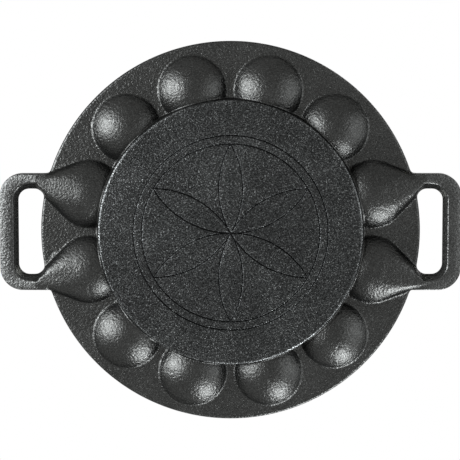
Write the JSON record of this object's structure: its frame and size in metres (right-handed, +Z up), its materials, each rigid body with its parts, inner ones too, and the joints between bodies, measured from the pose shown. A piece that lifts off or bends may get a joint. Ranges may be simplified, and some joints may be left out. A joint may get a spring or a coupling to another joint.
{
  "type": "poffertjes pan",
  "caption": "Round cast-iron pan with hemispherical cups for small pancakes, a flat base block for the hob and two loop handles.",
  "frame": {"origin": "centre of the base block's flat face, which stands on the hob", "axes": "+Z up, out of the cups' mouths; +X from the left handle to the right handle; +Y completes it"},
  "size_m": [0.3038, 0.25, 0.02],
  "materials": {
    "plate_iron": "dark fine-grained cast surface, semi-matt",
    "block_iron": "dark fine-grained cast surface, semi-matt",
    "cup_iron": "dark cast surface, a little smoother and glossier than the plate",
    "handle_iron": "dark fine-grained cast surface, semi-matt"
  },
  "bodies": {
    "root": {"griddle_plate": "plate_iron", "base_block": "block_iron", "ring_cup_01": "cup_iron", "ring_cup_02": "cup_iron", "ring_cup_03": "cup_iron", "ring_cup_04": "cup_iron", "ring_cup_05": "cup_iron", "ring_cup_06": "cup_iron", "ring_cup_07": "cup_iron", "ring_cup_08": "cup_iron", "ring_cup_09": "cup_iron", "ring_cup_10": "cup_iron", "ring_cup_11": "cup_iron", "ring_cup_12": "cup_iron", "left_handle": "handle_iron", "right_handle": "handle_iron"}
  },
  "joints": []
}
